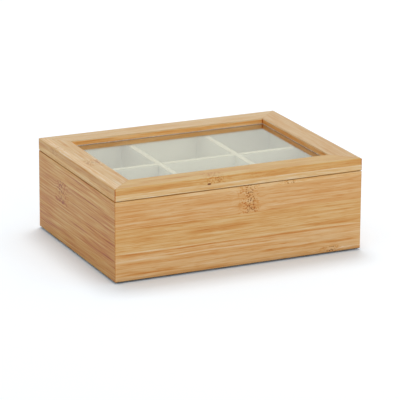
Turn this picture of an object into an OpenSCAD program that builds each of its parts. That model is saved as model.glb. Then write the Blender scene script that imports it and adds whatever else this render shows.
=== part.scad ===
// Tea bag organizer box: mitred bamboo walls, six lined compartments, and a hinged lid that is a
// mitred bamboo frame round a pane of glass.
// X runs along the front, Y from front to back and Z up. The origin is the middle of the box, on the
// plane that its pads stand on.

/* [Box] */
// Length of the box along its front
box_w = 215; // [190:1:260]
// Depth of the box from front to back
box_d = 160; // [130:1:200]
// Height of the box walls, without the lid and the pads
wall_h = 65.2; // [50:0.1:90]
// Thickness of the bamboo walls
wall_t = 5.5; // [5.5:0.1:8]
// Thickness of the bottom panel
bottom_t = 3; // [2:0.5:5]
// Depth of the rebate in the walls that takes the bottom panel
rebate = 2.5; // [1.5:0.1:3.5]
// Gap round the bottom panel in its rebate
bottom_fit = 0.1; // [0:0.05:0.3]

/* [Pads] */
// Thickness of the pads that the box stands on
pad_t = 1.2; // [0.8:0.1:3]
// Radius of the pads
pad_r = 5; // [4:0.5:8]
// Distance from the outer faces of the walls to the middle of a pad
pad_in = 11; // [9:0.5:20]

/* [Edges] */
// Rounding of the upright corners, the smallest of the roundings
corner_r = 0.7; // [0.4:0.1:0.7]
// Rounding of the edges round the foot of the walls
foot_r = 0.75; // [0.75:0.05:3]
// Rounding of the edges round the top of the lid
rim_r = 1.5; // [1:0.1:2]
// Rounding of the two edges that meet at the seam of the lid
seam_r = 0.75; // [0.75:0.05:1]
// Bevel of the inner top edge of the lid frame
arris = 0.7; // [0.2:0.1:0.8]

/* [Lining and dividers] */
// Thickness of the lining boards on the inner walls
lining_t = 1.5; // [1:0.1:3]
// Thickness of the dividers
divider_t = 5; // [3:0.1:6]
// Rounding of the top edges of the dividers
divider_r = 0.6; // [0.2:0.1:1]
// How far the dividers stay below the top of the walls
divider_drop = 0.2; // [0:0.1:10]
// Play in the half laps where the dividers cross
lap_fit = 0.1; // [0.05:0.05:0.3]

/* [Lid] */
// Thickness of the lid frame
lid_t = 10.2; // [8:0.1:14]
// Width of the rails of the lid frame
rail_w = 20.5; // [15:0.5:30]
// Gap between the closed lid and the walls
lid_gap = 0.4; // [0.3:0.1:0.8]

/* [Glass] */
// Thickness of the glass pane
glass_t = 2; // [1.5:0.1:3]
// Depth of the glass below the top of the lid frame
glass_drop = 4.6; // [3:0.1:5]
// How far the glass reaches into the grooves of the rails
glass_grip = 3.5; // [2:0.5:6]
// Play above the glass in its groove
groove_play = 0.5; // [0.2:0.1:0.8]
// Play between the edge of the glass and the bottom of its groove
groove_end = 0.5; // [0.3:0.1:1]

/* [Hinges] */
// Length of a hinge
hinge_l = 25; // [18:1:40]
// Distance of each hinge's middle from the end of the box
hinge_in = 42.5; // [35:0.5:60]
// How much nearer to the back face the hinge pin lies than the middle of the seam's rounding
axis_out = 0.3; // [0.3:0.05:0.5]
// Thickness of the hinge leaves
leaf_t = 0.8; // [0.6:0.05:1]
// Gap between the edge of a hinge leaf and the inner face of the back wall
leaf_edge = 0.2; // [0.1:0.1:0.5]
// Gap between the two leaves when the lid is closed
leaf_gap = 0.1; // [0.1:0.05:0.2]
// Radius of the hinge pin
pin_r = 0.6; // [0.5:0.05:0.8]
// Running play round the hinge pin
pin_play = 0.05; // [0.02:0.01:0.1]
// Gap between neighbouring knuckles
knuckle_gap = 0.2; // [0.1:0.05:0.4]
// Room round the knuckles in the wood and in the other leaf
knuckle_room = 0.3; // [0.25:0.05:0.5]

/* [Screws] */
// Length of a hinge screw
screw_l = 6; // [4:0.5:7]
// Radius of a screw's shank
screw_r = 0.7; // [0.5:0.05:0.9]
// Radius of a screw's head
head_r = 1.3; // [1.1:0.05:1.35]
// Distance of a screw from the end of its hinge
screw_in = 4; // [2.5:0.5:5]

/* [Hidden] */

$fn = 48;

// Length by which a cut runs past the surface that it opens
over = 1;

bamboo = [0.83, 0.66, 0.45];
bamboo_top = [0.86, 0.72, 0.52];
board = [0.88, 0.87, 0.80];
pane_tint = [0.75, 0.86, 0.84, 0.45];
felt = [0.20, 0.19, 0.18];
brass = [0.78, 0.62, 0.32];

// Heights
wall_top = pad_t + wall_h;
floor_z = pad_t + bottom_t;
lid_z = wall_top + lid_gap;
top_z = lid_z + lid_t;
glass_z = top_z - glass_drop - glass_t;
divider_h = wall_top - divider_drop - floor_z;

// Inner sizes: between the bamboo walls, and between the linings
bay_w = box_w - 2 * wall_t;
bay_d = box_d - 2 * wall_t;
inner_w = bay_w - 2 * lining_t;
inner_d = bay_d - 2 * lining_t;

// Three equal columns of compartments: distance of the cross dividers from the middle
column_w = (inner_w - 2 * divider_t) / 3;
cross_x = (column_w + divider_t) / 2;

// Hinge pin, midway between the walls and the lid, near the back face
hinge_x = box_w / 2 - hinge_in;
axis_y = box_d / 2 - seam_r + axis_out;
axis_z = wall_top + lid_gap / 2;
barrel_r = pin_r + pin_play + leaf_t;
leaf_y = box_d / 2 - wall_t + leaf_edge;
flat_y = axis_y - barrel_r - knuckle_room;
knuckle_l = hinge_l / 3;
screw_y = (leaf_y + flat_y) / 2;
head_h = head_r - screw_r;

// Size of the rebated floor that the walls stand round
floor_w = bay_w + 2 * rebate;
floor_d = bay_d + 2 * rebate;

// Outline with the bottom at y = 0 whose lower and upper corners are rounded by low_r and high_r
module upright_outline(width, height, low_r, high_r) {
    translate([-width / 2, low_r]) square([width, height - low_r - high_r]);
    translate([low_r - width / 2, 0]) square([width - 2 * low_r, height / 2]);
    translate([high_r - width / 2, height / 2]) square([width - 2 * high_r, height / 2]);
    for (side = [-1, 1]) {
        translate([side * (width / 2 - low_r), low_r]) circle(low_r);
        translate([side * (width / 2 - high_r), height - high_r]) circle(high_r);
    }
}

// Block on z = 0 with its twelve edges rounded: the shape of the closed box walls and of the lid
module rounded_block(height, low_r, high_r) {
    intersection() {
        linear_extrude(height) {
            square([box_w - 2 * corner_r, box_d], center = true);
            square([box_w, box_d - 2 * corner_r], center = true);
            for (x = [-1, 1], y = [-1, 1])
                translate([x * (box_w / 2 - corner_r), y * (box_d / 2 - corner_r)]) circle(corner_r);
        }
        translate([0, box_d / 2 + over, 0]) rotate([90, 0, 0])
            linear_extrude(box_d + 2 * over) upright_outline(box_w, height, low_r, high_r);
        translate([-box_w / 2 - over, 0, 0]) rotate([90, 0, 90])
            linear_extrude(box_w + 2 * over) upright_outline(box_d, height, low_r, high_r);
    }
}

// Prism that keeps one mitred side of a frame: the side that faces the front when turned by 0
module mitre_side(turn, thickness, height) {
    length = turn % 180 == 0 ? box_w : box_d;
    across = turn % 180 == 0 ? box_d : box_w;
    rotate([0, 0, turn]) linear_extrude(height) polygon([
        [-length / 2 - over, -across / 2 - over],
        [length / 2 + over, -across / 2 - over],
        [length / 2 - thickness, thickness - across / 2],
        [thickness - length / 2, thickness - across / 2]
    ]);
}

// One bamboo wall, with the rebate for the bottom panel along its inner foot
module wall(turn) {
    translate([0, 0, pad_t]) difference() {
        intersection() {
            rounded_block(wall_h, foot_r, seam_r);
            mitre_side(turn, wall_t, wall_h);
        }
        translate([-floor_w / 2, -floor_d / 2, -over]) cube([floor_w, floor_d, bottom_t + over]);
    }
}

// One rail of the lid frame, with its groove for the glass and its bevelled inner edge
module rail(turn) {
    opening_w = box_w - 2 * rail_w;
    opening_d = box_d - 2 * rail_w;
    groove = 2 * (glass_grip + groove_end);
    difference() {
        translate([0, 0, lid_z]) intersection() {
            rounded_block(lid_t, seam_r, rim_r);
            mitre_side(turn, rail_w, lid_t);
        }
        translate([-(opening_w + groove) / 2, -(opening_d + groove) / 2, glass_z])
            cube([opening_w + groove, opening_d + groove, glass_t + groove_play]);
        rail_bevel(turn, opening_w, opening_d);
    }
}

// Bevel along the inner top edge of a rail
module rail_bevel(turn, opening_w, opening_d) {
    length = turn % 180 == 0 ? box_w : box_d;
    across = turn % 180 == 0 ? opening_d : opening_w;
    rotate([0, 0, turn]) translate([-length / 2, -across / 2, top_z]) rotate([90, 0, 90])
        linear_extrude(length) polygon([[over, over], [-arris - over, over], [over, -arris - over]]);
}

// Pockets in the top of the back wall for the knuckles and for the lower leaf of each hinge
module hinge_pockets() {
    depth = leaf_gap / 2 + leaf_t;
    length = hinge_l + 2 * knuckle_room;
    for (side = [-1, 1]) translate([side * hinge_x, axis_y, axis_z]) {
        rotate([0, 90, 0]) cylinder(h = length, r = barrel_r + knuckle_room, center = true);
        translate([-length / 2, leaf_y - leaf_edge - axis_y, -depth])
            cube([length, axis_y - leaf_y + leaf_edge, depth + over]);
    }
}

// Turns what belongs to the walls' side of the hinges over, to the lid's side of them
module lid_side() {
    translate([0, 0, axis_z]) mirror([0, 0, 1]) translate([0, 0, -axis_z]) children();
}

module front_panel() {
    color(bamboo) wall(0);
}

module right_panel() {
    color(bamboo) wall(90);
}

module back_panel() {
    color(bamboo) difference() {
        wall(180);
        hinge_pockets();
        screw_holes();
    }
}

module left_panel() {
    color(bamboo) wall(270);
}

module bottom_panel() {
    color(board) translate([bottom_fit - floor_w / 2, bottom_fit - floor_d / 2, pad_t])
        cube([floor_w - 2 * bottom_fit, floor_d - 2 * bottom_fit, bottom_t]);
}

// Four round pads stuck under the corners of the bottom panel
module corner_pads() {
    color(felt) for (x = [-1, 1], y = [-1, 1])
        translate([x * (box_w / 2 - pad_in), y * (box_d / 2 - pad_in), 0]) cylinder(h = pad_t, r = pad_r);
}

// Lining boards: the long ones run from wall to wall, the short ones stand between them
module long_lining(side) {
    color(board) translate([-bay_w / 2, side > 0 ? bay_d / 2 - lining_t : -bay_d / 2, floor_z])
        cube([bay_w, lining_t, wall_top - floor_z]);
}

module short_lining(side) {
    color(board) translate([side > 0 ? bay_w / 2 - lining_t : -bay_w / 2, -inner_d / 2, floor_z])
        cube([lining_t, inner_d, wall_top - floor_z]);
}

module lining_front() {
    long_lining(-1);
}

module lining_back() {
    long_lining(1);
}

module lining_left() {
    short_lining(-1);
}

module lining_right() {
    short_lining(1);
}

// Board on edge that runs along X, its middle over the origin, with its two top edges rounded
module divider_board(length) {
    rotate([90, 0, 90]) linear_extrude(length, center = true) {
        translate([-divider_t / 2, 0]) square([divider_t, divider_h - divider_r]);
        translate([divider_r - divider_t / 2, 0]) square([divider_t - 2 * divider_r, divider_h]);
        for (side = [-1, 1])
            translate([side * (divider_t / 2 - divider_r), divider_h - divider_r]) circle(divider_r);
    }
}

// Long divider, slotted from above halfway down where the cross dividers lap over it
module long_divider() {
    color(board) difference() {
        translate([0, 0, floor_z]) divider_board(inner_w);
        for (side = [-1, 1]) translate([side * cross_x, 0, floor_z + divider_h])
            cube([divider_t + 2 * lap_fit, divider_t + over, divider_h], center = true);
    }
}

// Cross divider, slotted from below where it laps over the long divider
module cross_divider(side) {
    slot = divider_t + 2 * lap_fit;
    color(board) translate([side * cross_x, 0, floor_z]) difference() {
        rotate([0, 0, 90]) divider_board(inner_d);
        translate([-divider_t / 2 - over, -slot / 2, -over])
            cube([divider_t + 2 * over, slot, divider_h / 2 + over]);
    }
}

module cross_divider_left() {
    cross_divider(-1);
}

module cross_divider_right() {
    cross_divider(1);
}

module lid_front_rail() {
    color(bamboo_top) rail(0);
}

module lid_right_rail() {
    color(bamboo_top) rail(90);
}

module lid_back_rail() {
    color(bamboo_top) difference() {
        rail(180);
        lid_side() {
            hinge_pockets();
            screw_holes();
        }
    }
}

module lid_left_rail() {
    color(bamboo_top) rail(270);
}

module glass_pane() {
    pane_w = box_w - 2 * (rail_w - glass_grip);
    pane_d = box_d - 2 * (rail_w - glass_grip);
    color(pane_tint) translate([-pane_w / 2, -pane_d / 2, glass_z]) cube([pane_w, pane_d, glass_t]);
}

// Plate of a leaf below the pin, as long as the hinge where it is flat, with a tongue to each knuckle
module leaf_plate(knuckles) {
    translate([-hinge_l / 2, leaf_y - axis_y, -leaf_gap / 2 - leaf_t])
        cube([hinge_l, flat_y - leaf_y, leaf_t]);
    for (knuckle = knuckles) translate([knuckle[0], leaf_y - axis_y, -leaf_gap / 2 - leaf_t])
        cube([knuckle[1] - knuckle[0], axis_y - leaf_y, leaf_t]);
}

// Hinge leaf with its knuckles, each a pair of ends along the pin, and its countersunk holes
module leaf(knuckles, bore_r) {
    difference() {
        union() {
            leaf_plate(knuckles);
            for (knuckle = knuckles) translate([knuckle[0], 0, 0]) rotate([0, 90, 0])
                cylinder(h = knuckle[1] - knuckle[0], r = barrel_r);
        }
        rotate([0, 90, 0]) cylinder(h = hinge_l + 2 * over, r = bore_r, center = true);
        for (end = [-1, 1]) translate([end * (hinge_l / 2 - screw_in), screw_y - axis_y, 0])
            screw_hole();
    }
}

// Countersunk hole through a leaf, from its face at -leaf_gap / 2 down
module screw_hole() {
    translate([0, 0, -leaf_gap / 2 - leaf_t - over]) cylinder(h = leaf_t + over, r = screw_r);
    translate([0, 0, -leaf_gap / 2 - head_h]) cylinder(h = head_h, r1 = screw_r, r2 = head_r);
    translate([0, 0, -leaf_gap / 2]) cylinder(h = over, r = head_r);
}

// Leaf screwed to the walls: it has the two outer knuckles, tight on the pin
module box_leaf(side) {
    color(brass) translate([side * hinge_x, axis_y, axis_z])
        leaf([[-hinge_l / 2, -knuckle_l / 2], [knuckle_l / 2, hinge_l / 2]], pin_r);
}

// Leaf screwed to the lid: it has the middle knuckle, free to turn on the pin
module lid_leaf(side) {
    reach = knuckle_l / 2 - knuckle_gap;
    color(brass) lid_side() translate([side * hinge_x, axis_y, axis_z])
        leaf([[-reach, reach]], pin_r + pin_play);
}

module hinge_pin(side) {
    color(brass) translate([side * hinge_x, axis_y, axis_z]) rotate([0, 90, 0])
        cylinder(h = hinge_l, r = pin_r, center = true);
}

module hinge_left_box_leaf() {
    box_leaf(-1);
}

module hinge_left_lid_leaf() {
    lid_leaf(-1);
}

module hinge_left_pin() {
    hinge_pin(-1);
}

module hinge_right_box_leaf() {
    box_leaf(1);
}

module hinge_right_lid_leaf() {
    lid_leaf(1);
}

module hinge_right_pin() {
    hinge_pin(1);
}

// Countersunk screw with a single slot, its head flush with the leaf and its length straight down
module screw() {
    slot_w = screw_r / 2;
    translate([0, 0, -leaf_gap / 2]) difference() {
        union() {
            translate([0, 0, -screw_l]) cylinder(h = screw_l, r = screw_r);
            translate([0, 0, -head_h]) cylinder(h = head_h, r1 = screw_r, r2 = head_r);
        }
        translate([-slot_w / 2, -head_r - over, -head_h / 2])
            cube([slot_w, 2 * (head_r + over), head_h / 2 + over]);
    }
}

// Puts its child at each of the four screws of the box leaves
module at_screws() {
    for (side = [-1, 1], end = [-1, 1])
        translate([side * hinge_x + end * (hinge_l / 2 - screw_in), screw_y, axis_z]) children();
}

// Pilot holes in the wood, as wide as the shanks that bite into them
module screw_holes() {
    at_screws() translate([0, 0, -leaf_gap / 2 - screw_l]) cylinder(h = screw_l, r = screw_r);
}

module hinge_box_screws() {
    color(brass) at_screws() screw();
}

module hinge_lid_screws() {
    color(brass) lid_side() at_screws() screw();
}

front_panel();
back_panel();
left_panel();
right_panel();
bottom_panel();
corner_pads();
lining_front();
lining_back();
lining_left();
lining_right();
long_divider();
cross_divider_left();
cross_divider_right();
lid_front_rail();
lid_back_rail();
lid_left_rail();
lid_right_rail();
glass_pane();
hinge_left_box_leaf();
hinge_left_lid_leaf();
hinge_left_pin();
hinge_right_box_leaf();
hinge_right_lid_leaf();
hinge_right_pin();
hinge_box_screws();
hinge_lid_screws();
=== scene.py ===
import bpy, bmesh, math
from mathutils import Matrix, Vector


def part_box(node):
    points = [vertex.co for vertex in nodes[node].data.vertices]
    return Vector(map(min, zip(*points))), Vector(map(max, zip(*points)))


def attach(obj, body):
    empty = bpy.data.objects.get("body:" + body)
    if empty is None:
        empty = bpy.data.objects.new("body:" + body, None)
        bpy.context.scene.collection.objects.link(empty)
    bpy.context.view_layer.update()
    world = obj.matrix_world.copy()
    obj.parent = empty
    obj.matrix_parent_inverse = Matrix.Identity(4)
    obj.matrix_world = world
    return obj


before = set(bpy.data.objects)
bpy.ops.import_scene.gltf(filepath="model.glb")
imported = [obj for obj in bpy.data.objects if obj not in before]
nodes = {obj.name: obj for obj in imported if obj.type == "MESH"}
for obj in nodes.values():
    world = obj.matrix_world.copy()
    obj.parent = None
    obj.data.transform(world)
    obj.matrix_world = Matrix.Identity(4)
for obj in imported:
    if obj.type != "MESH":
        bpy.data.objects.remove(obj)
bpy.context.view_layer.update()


# ---- Box walls. Each wall is a board of flat-pressed bamboo: strips 20 mm wide glued edge to edge, with the grain
# along the wall, mitred at the corners, sanded and given a clear satin lacquer; the edge at the foot is darkened with
# painted shade, deepening the shadow in the gap under the walls.
# Here and there a strip has a node of the cane, rows of dark dots in unsettled grain.
MM = 0.001
X, Y, Z = range(3)


class Value:
    """A socket of a material that works in Python sums: each operator adds its Math node."""

    def __init__(self, tree, socket=None):
        self.tree = tree
        self.socket = socket

    def node(self, kind, settings, inputs, output=0):
        made = self.tree.nodes.new(kind)
        for setting, chosen in settings.items():
            if setting == "stops":
                self.set_stops(made.color_ramp, chosen)
            else:
                setattr(made, setting, chosen)
        for name, given in inputs.items():
            if isinstance(given, Value):
                self.tree.links.new(given.socket, made.inputs[name])
            else:
                made.inputs[name].default_value = given
        return Value(self.tree, made.outputs[output])

    def set_stops(self, ramp, stops):
        ramp.interpolation = "CONSTANT"
        ramp.elements[0].position, ramp.elements[0].color = stops[0]
        ramp.elements.remove(ramp.elements[1])
        for position, colour in stops[1:]:
            ramp.elements.new(position).color = colour

    def math(self, operation, *terms):
        return self.node("ShaderNodeMath", {"operation": operation}, dict(enumerate(terms)))

    def __add__(self, other):
        return self.math("ADD", self, other)

    def __sub__(self, other):
        return self.math("SUBTRACT", self, other)

    def __rsub__(self, other):
        return self.math("SUBTRACT", other, self)

    def __mul__(self, other):
        return self.math("MULTIPLY", self, other)

    def __truediv__(self, other):
        return self.math("DIVIDE", self, other)

    def __rtruediv__(self, other):
        return self.math("DIVIDE", other, self)

    def __pow__(self, power):
        return self.math("POWER", self, power)

    def __gt__(self, other):
        return self.math("GREATER_THAN", self, other)

    def __lt__(self, other):
        return self.math("LESS_THAN", self, other)

    def __abs__(self):
        return self.math("ABSOLUTE", self)

    __radd__ = __add__
    __rmul__ = __mul__

    def limit(self):
        """The value kept between 0 and 1."""
        return self.node("ShaderNodeClamp", {}, {0: self})

    def hump(self, middle, reach):
        """1 at the middle, falling to 0 at the reach on both sides of it."""
        return (1 - ((self - middle) / reach) ** 2).limit()

    def bound(self, low, high, fade):
        """1 between low and high, with soft ends as long as fade."""
        return ((self - low) / fade).limit() * ((high - self) / fade).limit()

    def blend(self, first, second):
        """The colour first where the value is 0 and second where it is 1, by the colour sockets of a Mix node."""
        return self.node("ShaderNodeMix", {"data_type": "RGBA"}, {0: self, 6: first, 7: second}, 2)

    def feed(self, shader, name):
        """Links the value to the named input of a shader."""
        self.tree.links.new(self.socket, shader.inputs[name])


def tone(red, green, blue):
    """A linear colour from the 0 to 255 values by which a picture names it."""
    return tuple(((c / 255 + 0.055) / 1.055) ** 2.4 for c in (red, green, blue)) + (1.0,)


def new_finish(name):
    """A new material, with its principled shader and a value to start sums from."""
    made = bpy.data.materials.new(name)
    made.use_nodes = True
    shader = next(n for n in made.node_tree.nodes if n.type == "BSDF_PRINCIPLED")
    return made, shader, Value(made.node_tree)


def finish_on(name, *pieces):
    """A new material on the named CAD nodes: its principled shader and a value to start sums from."""
    made, shader, start = new_finish(name)
    for piece in pieces:
        nodes[piece].data.materials[0] = made
    return shader, start


def place_in_mm(start):
    """The place on the object in millimetres, as a vector."""
    metres = start.node("ShaderNodeTexCoord", {}, {}, "Object")
    return start.node("ShaderNodeVectorMath", {"operation": "SCALE"}, {0: metres, "Scale": 1 / MM})


def parts(vector):
    """The three numbers of a vector."""
    apart = vector.node("ShaderNodeSeparateXYZ", {}, {0: vector}).socket.node
    return [Value(vector.tree, number) for number in apart.outputs]


def speckle(start, place, cell, detail=1.0):
    """Noise whose cells have the given length on each axis."""
    cells = start.node("ShaderNodeVectorMath", {"operation": "DIVIDE"}, {0: place, 1: cell})
    return start.node("ShaderNodeTexNoise", {}, {"Vector": cells, "Scale": 1.0, "Detail": detail, "Roughness": 0.55})


def pores(start, place, cell):
    """Dots scattered over the first two axes of place, one to a cell: 1 at the middle of a dot and 0 around it."""
    cells = start.node("ShaderNodeVectorMath", {"operation": "DIVIDE"}, {0: place, 1: cell})
    flat_cells = {"voronoi_dimensions": "2D"}
    away = start.node("ShaderNodeTexVoronoi", flat_cells, {"Vector": cells, "Scale": 1.0}, "Distance")
    return (1.7 - away * 4).limit()


def emboss(shader, height, strength, depth):
    """Gives the shader a fine relief that follows the height and is about depth millimetres deep."""
    relief = height.node("ShaderNodeBump", {}, {"Strength": strength, "Distance": depth * MM, "Height": height})
    relief.feed(shader, "Normal")


BOX_LENGTH = -2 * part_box("left_panel")[0][0] / MM
BOX_DEPTH = -2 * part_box("front_panel")[0][1] / MM
# How high the painted shade along the foot of the walls reaches, and how dark it is
FOOT_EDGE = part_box("front_panel")[0][2] / MM + 0.5
FOOT_PAINTED_SHADE = 1.3
SEAM = (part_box("front_panel")[1][2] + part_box("lid_front_rail")[0][2]) / 2 / MM
# How far the painted shade reaches either side of the lid's seam, and how much it darkens the wood there
SEAM_REACH, SEAM_PAINTED_SHADE = 0.5, 0.1
GLUE_WIDTH, GLUE_SHADE = 0.22, 0.3
LACQUER_SHINE = 0.36
# The width that a board's last strip is given; the edge of the board cuts it off
LAST_STRIP = 25
# How far apart strips and boards are cut from the same endless grain, and by how many strips the layers of a rail
STRIP_APART, BOARD_APART, LAYERS_APART = 173.0, 61.0, 7
# How far a knot unsettles the grain and bends it, and how far its smudges and its dots reach and wander
KNOT_HALO, KNOT_BEND, KNOT_SMUDGES, KNOT_DOTS, KNOT_WANDER = 24, 5, 11, 4.3, 6
# How softly a knot stops at the edges of its strip, a streak at its ends, and a level streak at its ends
KNOT_FADE, STREAK_FADE, LEVEL_FADE = 0.3, 12, 1
PIT = -0.5
DARKEST_SHADE, BLACKENING = 0.2, 0.75
# The powers of the shade by which red, green and blue follow it: blue falls most, so dark grain is more orange
RED_TURN, GREEN_TURN, BLUE_TURN = 0.45, 1.37, 3.2


def strip_colours(start, across, strips):
    """The colour of the strip at each place across the board, and the strip's number."""
    low, high = strips[0][0], strips[-1][0] + LAST_STRIP
    stops = [((edge - low) / (high - low), colour) for edge, colour in strips]
    colour = start.node("ShaderNodeValToRGB", {"stops": stops}, {0: (across - low) / (high - low)})
    return colour, sum((across > edge for edge, _ in strips[1:]), across * 0)


def rail_colours(start, axes, across, top, under, side):
    """The colours of a lid rail: under is the (outer, inner) pair of its lower layer, side that of the upright faces
    of its upper layer, and top the colour above. Also what lies in the upper layer, and what faces up or down."""
    upper = axes[Z] > LAYER_EDGE
    # The inner faces are given lighter colours: painted light, making up for the light they miss inside the frame and
    # under the glass
    inward = abs(axes[across]) < (BOX_LENGTH, BOX_DEPTH)[across] / 2 - RAIL_WIDTH + INNER_FACE
    facing = start.node("ShaderNodeTexCoord", {}, {}, "Normal")
    flat = abs(parts(facing)[Z]) > LEVEL_ENOUGH
    return upper.blend(inward.blend(*under), flat.blend(inward.blend(*side), top)), upper, flat


def bamboo(name, piece, along, across, strips, seed, knots=(), streaks=(), level_streaks=(), under=None, side=None,
           contrast=1.0, fineness=0.5, dashes=(12, 0.9, 0.18)):
    """Lacquered bamboo. Along and across are the axes of the board's face, and all lengths are in millimetres.
    Strips are (edge, colour) across it. Knots are (along, from, to, strength, darkness of the dots), and from and to
    are across. Streaks are (across, width, from, to, change of shade), and level streaks the same but at a height:
    one whose change is below PIT is a dark pit. Under and side are the colours of a rail's two layers.
    Fineness is the thickness of a fibre, and dashes are the (length, thickness, strength) of the vessels."""
    shader, start = finish_on(name, piece)
    axes = parts(place_in_mm(start))
    u, v, w = axes[along], axes[across], axes[X + Y + Z - along - across]

    colour, number = strip_colours(start, v, strips)
    glue_width, glue_shade = GLUE_WIDTH, GLUE_SHADE
    if under:
        colour, upper, flat = rail_colours(start, axes, across, colour, under, side)
        number = number + upper * LAYERS_APART
        glue_width, glue_shade = (1 - flat) * 0.4 + GLUE_WIDTH, (1 - flat) * 0.2 + GLUE_SHADE

    # The knots, which are the nodes of the cane: unsettled grain around smudges and dark dots
    shift = number * STRIP_APART + seed * BOARD_APART
    rows = start.node("ShaderNodeCombineXYZ", {}, {0: u + shift, 1: v, 2: w})
    spots = start.node("ShaderNodeCombineXYZ", {}, {0: u + shift, 1: v + w})
    wave = speckle(start, rows, (9, 3.5, 3.5))
    scale = 0.5 + fineness
    gathered = ((speckle(start, rows, (3, 3, 3)) - 0.36) * 6).limit()
    dotted = pores(start, spots, (1.9 * scale, 1.6 * scale, 1)) * gathered
    halo, smudged, dark = v * 0, v * 0, v * 0
    for middle, begin, end, strength, darkness in knots:
        inside = v.bound(begin, end, KNOT_FADE) * strength
        if under:
            inside = inside * upper
        off = u - middle - (speckle(start, rows, (50, 7, 7)) - 0.5) * KNOT_WANDER
        halo = halo + off.hump(0, KNOT_HALO) * inside
        smudged = smudged + off.hump(0, KNOT_SMUDGES * scale) * inside
        dark = dark + dotted * off.hump(1.8, KNOT_DOTS * scale) * inside * darkness
    bent = v + halo * (wave - 0.5) * KNOT_BEND
    grain = start.node("ShaderNodeCombineXYZ", {}, {0: u + shift, 1: bent, 2: w})

    # The grain, from broad clouds to single fibres
    cloud = speckle(start, grain, (45, 9, 9), detail=2)
    band = speckle(start, grain, (170, 3.4, 3.4), detail=2)
    line = speckle(start, grain, (48, 1.3, 1.3), detail=3)
    fibre = speckle(start, grain, (40 * fineness, fineness, fineness), detail=2)
    dash_length, dash_width, dash_strength = dashes
    vessel = speckle(start, grain, (dash_length, dash_width, dash_width))
    smudge = ((speckle(start, grain, (3.4, 1.3, 1.3)) - 0.5) * 7).limit()
    fine = (band - 0.5) * 0.2 + (line - 0.5) * 0.85 + (fibre - 0.5) * (0.3 + fineness * 0.5)
    shade = 1 + (cloud - 0.5) * 0.2 + fine * contrast - ((vessel - 0.58) * 6).limit() * dash_strength

    for where, width, begin, end, change in streaks:
        wander = (speckle(start, rows, (80, 30, 30)) - 0.5) * 2.4
        shade = shade + (bent + wander).hump(where, width) * u.bound(begin, end, STREAK_FADE) * change
    for where, width, begin, end, change in level_streaks:
        mark = w.hump(where, width) * u.bound(begin, end, LEVEL_FADE)
        shade = shade + mark * change
        if change < PIT:
            dark = dark + mark
    shade = shade + halo * 0.06 - halo * ((wave - 0.55) * 5).limit() * 0.1 - smudged * (smudge * 0.2 + dotted * 0.5)

    # The mitres' glue lines, painted shade on the edges at the lid's seam, and painted shade along the foot that
    # deepens the shadow in the gap under the walls
    mitre = abs(abs(axes[X]) - abs(axes[Y]) - (BOX_LENGTH - BOX_DEPTH) / 2) < glue_width
    shade = shade - mitre * glue_shade - (abs(axes[Z] - SEAM) < SEAM_REACH) * SEAM_PAINTED_SHADE
    shade = shade.math("MAXIMUM", shade, DARKEST_SHADE)
    dark = dark + (axes[Z] < FOOT_EDGE) * FOOT_PAINTED_SHADE

    clear = 1 - (dark * BLACKENING).limit()
    tint = start.node("ShaderNodeCombineXYZ", {}, {
        0: shade ** RED_TURN * clear, 1: shade ** GREEN_TURN * clear, 2: shade ** BLUE_TURN * clear,
    })
    tinted = start.node("ShaderNodeVectorMath", {"operation": "MULTIPLY"}, {0: colour, 1: tint})
    tinted.feed(shader, "Base Color")
    shader.inputs["Specular IOR Level"].default_value = LACQUER_SHINE
    (0.43 + (cloud - 0.5) * 0.2 + (fibre - 0.5) * 0.12).feed(shader, "Roughness")
    emboss(shader, line + fibre, strength=0.35, depth=0.05)


bamboo("front_bamboo", "front_panel", along=X, across=Z, seed=1, strips=[
    (-1, tone(186, 140, 85)), (3.4, tone(198, 155, 101)), (23.4, tone(194, 149, 89)),
    (43.7, tone(195, 148, 91)), (63.5, tone(204, 165, 112)),
], knots=[(7, 43.7, 66.5, 1, 0.8), (42.5, 63.5, 67, 0.8, 1), (79.6, -1, 6.5, 1, 1)], streaks=[
    (23.9, 1, -108, 108, 0.22), (22.4, 1.1, -108, 108, -0.22), (43.9, 0.9, -108, -22, 0.16),
    (43.1, 0.9, -108, -22, -0.16), (6, 1.2, -108, -50, -0.3), (31.8, 1, -39, 21, 0.16),
    (35, 3, -50, 14, -0.16), (26.3, 1.1, 54, 108, -0.24), (10.6, 1.3, 14, 108, -0.3),
    (14, 1.2, -108, -10, -0.2), (17.5, 0.9, -60, 60, 0.2), (52, 1, -108, -50, 0.1),
])
bamboo("left_bamboo", "left_panel", along=Y, across=Z, seed=2, strips=[
    (-1, tone(182, 127, 57)), (12.7, tone(184, 130, 60)), (32.7, tone(184, 131, 62)), (52.7, tone(189, 138, 68)),
], knots=[(29, 34.5, 53.5, 1.1, 0.45)], streaks=[
    (18, 1.6, -80, -9, -0.16), (15, 1.2, 51, 80, -0.16), (45, 5, 51, 80, -0.06),
    (33, 0.8, -80, 80, -0.12), (26, 1, -77, -49, -0.14), (28.5, 1, -77, -49, -0.12),
], contrast=1.55, fineness=0.9, dashes=(60, 0.8, 0.6))
bamboo("right_bamboo", "right_panel", along=Y, across=Z, seed=3, strips=[
    (-1, tone(196, 148, 92)), (7.2, tone(192, 143, 88)), (27.2, tone(200, 154, 99)), (47.2, tone(196, 149, 93)),
], knots=[(-34, 7.2, 27.2, 1, 0.6)])
bamboo("back_bamboo", "back_panel", along=X, across=Z, seed=4, strips=[
    (-1, tone(200, 154, 99)), (15, tone(194, 147, 90)), (35, tone(200, 152, 95)), (55, tone(192, 143, 86)),
], knots=[(-48, 15, 35, 1, 0.6), (63, 35, 55, 0.8, 0.4)])


# ---- Bottom panel. A sheet of 3 mm hardboard let into the rebate of the walls from below: white lacquer on the
# side that is the floor of the compartments, bare brown board on the side that faces the table.
LACQUERED_FROM = 2.7
WHITE_LACQUER = tone(235, 230, 212)
DARK_BOARD, LIGHT_BOARD = tone(112, 80, 52), tone(150, 116, 80)

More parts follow.
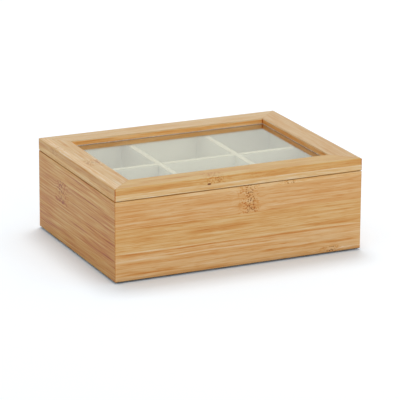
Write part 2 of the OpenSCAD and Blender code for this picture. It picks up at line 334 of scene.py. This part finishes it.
shader, start = finish_on("lacquered_hardboard", "bottom_panel")
place = place_in_mm(start)
lacquered = parts(place)[Z] > LACQUERED_FROM
fluff = speckle(start, place, (0.6, 0.6, 0.6), detail=3)
lacquered.blend(fluff.blend(DARK_BOARD, LIGHT_BOARD), WHITE_LACQUER).feed(shader, "Base Color")
(0.75 - lacquered * 0.3 + (fluff - 0.5) * 0.1).feed(shader, "Roughness")
emboss(shader, fluff, strength=0.4, depth=0.04)


# ---- Pads. Four dark felt discs, 1.2 mm thick, stuck to the bottom panel near its corners. They hold the walls
# clear of the table. Felt is pressed from loose fibres, so its surface is matt, dense and a little mottled.
DARK_FELT, LIGHT_FELT = tone(52, 50, 48), tone(96, 93, 90)

shader, start = finish_on("pressed_felt", "corner_pads")
place = place_in_mm(start)
fibres = speckle(start, place, (0.5, 0.5, 0.25), detail=4)
clumps = speckle(start, place, (2.5, 2.5, 2.5), detail=2)
fibres.blend(DARK_FELT, LIGHT_FELT).feed(shader, "Base Color")
(0.88 + (clumps - 0.5) * 0.16).feed(shader, "Roughness")
emboss(shader, fibres, strength=0.6, depth=0.1)


# ---- Lining and dividers. Thin fibreboard with a sprayed coat of off-white paint: boards against the four walls,
# one long divider and two cross dividers that lap over it. The top edges are darker: partly the saw-cut board taking
# the paint darker, partly painted shade that tones down the light falling on them from above.
DIVIDER_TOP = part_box("long_divider")[1][2] / MM
EDGE_DEPTH = 0.7
DULL_PAINT, FRESH_PAINT = tone(233, 227, 207), tone(239, 233, 215)
# The top edges' colour is partly the cut board's own and partly painted shade against the light from above
CUT_EDGE_AND_SHADE, RUBBED_EDGE = tone(190, 177, 145), tone(178, 162, 118)

shader, start = finish_on(
    "painted_fibreboard", "lining_front", "lining_back", "lining_left", "lining_right",
    "long_divider", "cross_divider_left", "cross_divider_right",
)
place = place_in_mm(start)
drift = speckle(start, place, (35, 35, 35), detail=2)
orange_peel = speckle(start, place, (0.9, 0.9, 0.9), detail=2)
cut_edge = ((parts(place)[Z] - DIVIDER_TOP + EDGE_DEPTH) * 2).limit()
rubbed = ((speckle(start, place, (5, 5, 5), detail=3) - 0.56) * 7).limit() * cut_edge
paint = (cut_edge * 0.9).blend(drift.blend(DULL_PAINT, FRESH_PAINT), CUT_EDGE_AND_SHADE)
(rubbed * 0.35).blend(paint, RUBBED_EDGE).feed(shader, "Base Color")
(0.5 + (drift - 0.5) * 0.15 + cut_edge * 0.12).feed(shader, "Roughness")
emboss(shader, orange_peel, strength=0.3, depth=0.05)


# ---- Lid frame. Four mitred rails of the same bamboo, pressed from two layers 5 mm thick that show as two bands
# on the outer faces; a groove in their inner faces holds the glass. The lacquer is the walls' own.
LAYER_EDGE, RAIL_WIDTH = 71.7, 20.5
# How far the inner face is counted over its rounded edge, and how level a face has to be to show the top's colours
INNER_FACE, LEVEL_ENOUGH = 0.4, 0.7

# In each (outer, inner) pair the inner colour is lighter: painted light on the inner faces, which lie in the frame's
# shade
bamboo("front_rail_bamboo", "lid_front_rail", along=X, across=Y, seed=5, strips=[(-81, tone(184, 147, 86))],
       under=(tone(202, 168, 119), tone(214, 168, 116)), side=(tone(191, 142, 77), tone(214, 160, 94)),
       knots=[(-21.8, -81, -68, 0.8, 0.35), (14.6, -81, -70, 0.3, 0)],
       streaks=[(-69, 2.2, -86, 21, -0.14), (-65, 2, 42, 71, -0.14)],
       level_streaks=[(LAYER_EDGE, 0.35, -108, 108, -0.12), (LAYER_EDGE, 0.8, -29.3, -25.7, -0.9)], contrast=1.1)
bamboo("back_rail_bamboo", "lid_back_rail", along=X, across=Y, seed=6, strips=[(58, tone(186, 154, 107))],
       under=(tone(202, 168, 119), tone(226, 169, 111)), side=(tone(191, 142, 77), tone(236, 180, 110)),
       level_streaks=[(LAYER_EDGE, 0.35, -108, 108, -0.12)], contrast=1.15)
bamboo("left_rail_bamboo", "lid_left_rail", along=Y, across=X, seed=7,
       strips=[(-108, tone(196, 165, 121)), (-100.5, tone(187, 155, 108))],
       under=(tone(200, 159, 97), tone(214, 168, 116)), side=(tone(189, 144, 82), tone(214, 160, 94)),
       knots=[(-6, -100.5, -86, 1, 0.6), (44, -108, -100.5, 0.6, 0.6)],
       level_streaks=[(LAYER_EDGE, 0.4, -80, 80, -0.25)], contrast=1.2)
bamboo("right_rail_bamboo", "lid_right_rail", along=Y, across=X, seed=8, strips=[(86, tone(184, 151, 105))],
       under=(tone(204, 166, 114), tone(238, 166, 98)), side=(tone(194, 146, 82), tone(238, 171, 94)),
       level_streaks=[(LAYER_EDGE, 0.35, -80, 80, -0.12)], contrast=1.05)


# ---- Bead of glue. The pane is bedded in its groove with glue, which shows as a thin uneven line, grey, white
# and brown, where it has been wiped off between the top of the glass and the rails. The pale and white flecks are
# partly painted glints, kept light against the shade of the groove.
BEAD_WIDTH, BEAD_HEIGHT, BEAD_LIFT = 0.5 * MM, 0.48 * MM, 0.01 * MM
# The pale and white colours are partly glue and partly painted glints along the groove
BROWN_GLUE, PALE_GLUE_AND_GLINT, WHITE_GLUE_AND_GLINT = tone(180, 142, 113), tone(244, 226, 208), tone(246, 240, 234)

pane_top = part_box("glass_pane")[1][2]
opening = [(side_length / 2 - RAIL_WIDTH) * MM for side_length in (BOX_LENGTH, BOX_DEPTH)]
scene = bpy.context.scene
bead_mesh = bpy.data.meshes.new("glass_bead")
bm = bmesh.new()
bmesh.ops.create_grid(bm, x_segments=1, y_segments=1, size=1)
bmesh.ops.scale(bm, vec=(opening[0] + BEAD_WIDTH, opening[1] + BEAD_WIDTH, 1), verts=bm.verts)
bmesh.ops.translate(bm, vec=(0, 0, pane_top + BEAD_LIFT), verts=bm.verts)
bmesh.ops.inset_region(bm, faces=bm.faces[:], thickness=BEAD_WIDTH, use_even_offset=True, use_boundary=True)
middle = min(bm.faces, key=lambda face: face.calc_center_median().xy.length)
bmesh.ops.delete(bm, geom=[middle], context="FACES_ONLY")
raised = bmesh.ops.extrude_face_region(bm, geom=bm.faces[:], use_keep_orig=True)["geom"]
raised = [part for part in raised if isinstance(part, bmesh.types.BMVert)]
bmesh.ops.translate(bm, vec=(0, 0, BEAD_HEIGHT), verts=raised)
bmesh.ops.recalc_face_normals(bm, faces=bm.faces)
bm.to_mesh(bead_mesh)
bm.free()
bead = bpy.data.objects.new("glass_bead", bead_mesh)
scene.collection.objects.link(bead)
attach(bead, "lid")

glue, shader, start = new_finish("glue_and_glints")
bead_mesh.materials.append(glue)
place = place_in_mm(start)
patchy = speckle(start, place, (4, 4, 1.5), detail=3)
flecks_and_glints = ((speckle(start, place, (1.8, 1.8, 0.8)) - 0.52) * 8).limit()
(flecks_and_glints * 0.7).blend(patchy.blend(BROWN_GLUE, PALE_GLUE_AND_GLINT), WHITE_GLUE_AND_GLINT).feed(shader, "Base Color")
(0.35 + patchy * 0.3).feed(shader, "Roughness")


# ---- Glass. A 2 mm pane of clear float glass with a faint green cast, its edge held in the groove of the rails.
# Light that only passes through on its way to and from the compartments is let through unbent.
GREEN_CAST = (0.96, 0.978, 0.95, 1)
PASSED_LIGHT = (0.87, 0.88, 0.875, 1)

_, start = finish_on("clear_glass", "glass_pane")
pane = start.node("ShaderNodeBsdfGlass", {}, {"Color": GREEN_CAST, "Roughness": 0.0, "IOR": 1.5})
passed = start.node("ShaderNodeBsdfTransparent", {}, {"Color": PASSED_LIGHT})
for light_ray in ("Is Shadow Ray", "Is Diffuse Ray"):
    through = start.node("ShaderNodeLightPath", {}, {}, light_ray)
    pane = start.node("ShaderNodeMixShader", {}, {0: through, 1: pane, 2: passed})
pane.feed(next(n for n in start.tree.nodes if n.type == "OUTPUT_MATERIAL"), "Surface")


# ---- Hinges. Two small butt hinges of stamped sheet brass, let into the back wall and the back rail, each with
# four countersunk brass screws. The knuckles are rolled, so the brushing runs along the hinge.
TARNISHED_BRASS, BRIGHT_BRASS = tone(196, 150, 82), tone(226, 190, 118)

shader, start = finish_on(
    "brushed_brass", "hinge_left_box_leaf", "hinge_left_lid_leaf", "hinge_left_pin",
    "hinge_right_box_leaf", "hinge_right_lid_leaf", "hinge_right_pin", "hinge_box_screws", "hinge_lid_screws",
)
place = place_in_mm(start)
brushing = speckle(start, place, (9, 0.12, 0.12), detail=2)
tarnish = speckle(start, place, (6, 3, 3), detail=3)
tarnish.blend(TARNISHED_BRASS, BRIGHT_BRASS).feed(shader, "Base Color")
shader.inputs["Metallic"].default_value = 1.0
(0.24 + brushing * 0.16 + (tarnish - 0.5) * 0.2).feed(shader, "Roughness")
emboss(shader, brushing, strength=0.25, depth=0.02)


# ---- The studio. A white table runs on out of sight in a white room. One lamp hangs above the box, a little behind
# it and to the right, a broad one stands low in front on the right, and a weak one low behind on the right. The
# camera stands 2.1 m off, to the left of the front.
ROOM_WHITE = (1.0, 1.0, 1.0, 1.0)
ROOM_STRENGTH = 0.8
TABLE_SIZE = 12.0
TABLE_WHITE = (0.86, 0.905, 0.945, 1.0)

scene.view_settings.view_transform = "Standard"
room = bpy.data.worlds.new("room")
room.use_nodes = True
room_light = next(n for n in room.node_tree.nodes if n.type == "BACKGROUND")
room_light.inputs["Color"].default_value = ROOM_WHITE
room_light.inputs["Strength"].default_value = ROOM_STRENGTH
scene.world = room

table_mesh = bpy.data.meshes.new("table")
bm = bmesh.new()
bmesh.ops.create_grid(bm, x_segments=1, y_segments=1, size=TABLE_SIZE / 2)
bm.to_mesh(table_mesh)
bm.free()
table = bpy.data.objects.new("table", table_mesh)
scene.collection.objects.link(table)
table_finish, shader, _ = new_finish("white_table")
shader.inputs["Base Color"].default_value = TABLE_WHITE
shader.inputs["Roughness"].default_value = 0.9
shader.inputs["Specular IOR Level"].default_value = 0.0
table_mesh.materials.append(table_finish)


def soft_lamp(name, place, aim, size, watts):
    light = bpy.data.lights.new(name, "AREA")
    light.size = size
    light.energy = watts
    lamp = bpy.data.objects.new(name, light)
    scene.collection.objects.link(lamp)
    lamp.location = Vector(place)
    lamp.rotation_euler = (Vector(aim) - Vector(place)).to_track_quat("-Z", "Y").to_euler()


soft_lamp("lamp_above", place=(0.2, 0.5, 1.85), aim=(0, 0, 0.03), size=0.7, watts=14)
soft_lamp("lamp_front", place=(0.5, -2.25, 0.55), aim=(0, 0, 0.03), size=1.4, watts=13.5)
soft_lamp("lamp_behind", place=(1.05, 2.26, 0.77), aim=(0, 0, 0.05), size=1.6, watts=2.2)

# The photograph's viewing angle, worked out from the corners of the box
VIEW_AZIMUTH = math.radians(-24.895)
VIEW_ELEVATION = math.radians(17.152)
VIEW_ROLL = math.radians(0.311)
VIEW_DISTANCE = 2.1453
VIEW_OFFSET = Vector((1.72 * MM, 31.26 * MM))
VIEW_LENS, SENSOR_WIDTH = 235.9, 36

view_back = Vector((
    math.sin(VIEW_AZIMUTH) * math.cos(VIEW_ELEVATION),
    -math.cos(VIEW_AZIMUTH) * math.cos(VIEW_ELEVATION),
    math.sin(VIEW_ELEVATION),
))
level_right = Vector((math.cos(VIEW_AZIMUTH), math.sin(VIEW_AZIMUTH), 0))
level_up = view_back.cross(level_right)
view_right = level_right * math.cos(VIEW_ROLL) + level_up * math.sin(VIEW_ROLL)
view_up = level_up * math.cos(VIEW_ROLL) - level_right * math.sin(VIEW_ROLL)
camera = bpy.data.objects.new("camera", bpy.data.cameras.new("camera"))
scene.collection.objects.link(camera)
camera.data.lens = VIEW_LENS
camera.data.sensor_width = SENSOR_WIDTH
turn = Matrix((view_right, view_up, view_back)).transposed().to_4x4()
stand = view_right * VIEW_OFFSET.x + view_up * VIEW_OFFSET.y + view_back * VIEW_DISTANCE
camera.matrix_world = Matrix.Translation(stand) @ turn
scene.camera = camera
